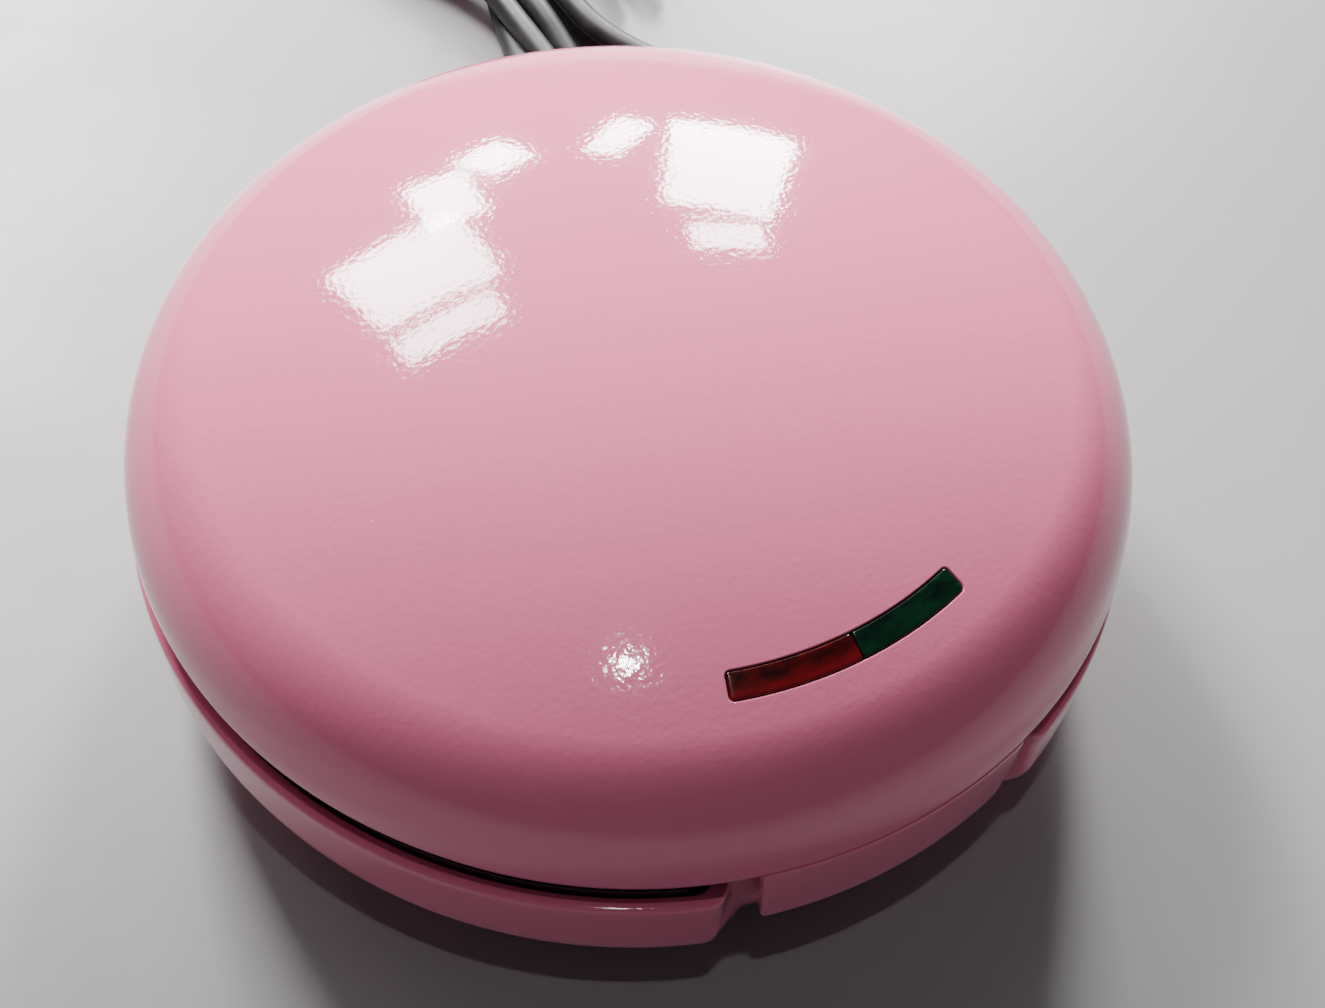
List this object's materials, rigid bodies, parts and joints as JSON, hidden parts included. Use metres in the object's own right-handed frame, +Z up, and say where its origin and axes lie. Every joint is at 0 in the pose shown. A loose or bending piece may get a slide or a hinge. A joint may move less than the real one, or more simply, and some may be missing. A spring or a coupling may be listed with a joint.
{
  "type": "donut maker",
  "caption": "Round clamshell electric donut maker with domed hinged lid, ring-mould plates, indicator lenses, grip tab and mains cord.",
  "frame": {"origin": "on the table under the middle of the appliance's outline, from the dome's front to the back of the hinge; the dome's own axis is 6 mm in front of it", "axes": "+Z up, -Y towards the front where the grip tab is, +X to the right seen from the front"},
  "size_m": [0.228, 0.3732, 0.1007],
  "materials": {
    "pink_shell": "glossy moulded thermoplastic, pink",
    "black_rubber": "soft matte black rubber",
    "dark_frame": "heat-resistant dark resin, satin",
    "nonstick_coat": "dark non-stick coating on cast metal",
    "steel_bright": "bright steel",
    "aluminium_sheet": "plain sheet aluminium",
    "white_ceramic": "glazed steatite ceramic, off-white",
    "brass_parts": "plain brass, nickel-dull",
    "black_cord": "black lead sheath, satin",
    "white_wire": "glass-fibre sleeving, off-white",
    "lamp_glass": "clear lamp glass",
    "red_lens": "translucent red lens, gloss",
    "green_lens": "translucent green lens, gloss",
    "black_cord_tie": "black plastic-coated twist tie",
    "black_plug": "black moulded PVC, satin"
  },
  "bodies": {
    "base": {"base_housing": "pink_shell", "rubber_feet": "black_rubber", "lower_frame": "dark_frame", "lower_plate": "nonstick_coat", "lower_element": "steel_bright", "lower_heat_shield": "aluminium_sheet", "base_screws": "steel_bright", "terminal_block": "white_ceramic", "terminal_screws": "brass_parts", "cord_clamp": "dark_frame", "clamp_screws": "steel_bright", "strain_relief": "black_rubber", "inner_lead": "black_cord", "base_wiring": "white_wire", "hinge_pin": "steel_bright", "mains_cord": "black_cord", "cord_hank": "black_cord", "cord_tie": "black_cord_tie", "plug_body": "black_plug", "plug_blades": "brass_parts"},
    "lid": {"lid_housing": "pink_shell", "upper_frame": "dark_frame", "upper_plate": "nonstick_coat", "upper_element": "steel_bright", "upper_heat_shield": "aluminium_sheet", "lid_screws": "steel_bright", "thermostat": "white_ceramic", "thermal_fuse": "white_wire", "lamp_holder": "dark_frame", "red_lamp": "lamp_glass", "green_lamp": "lamp_glass", "red_lens": "red_lens", "green_lens": "green_lens", "lid_wiring": "white_wire"}
  },
  "joints": [
    {"name": "lid_hinge", "type": "hinge", "parent": "base", "child": "lid", "pos_m": [0, 0.1095, 0.0464], "axis": [-1, 0, 0], "range_deg": [0, 100]}
  ]
}
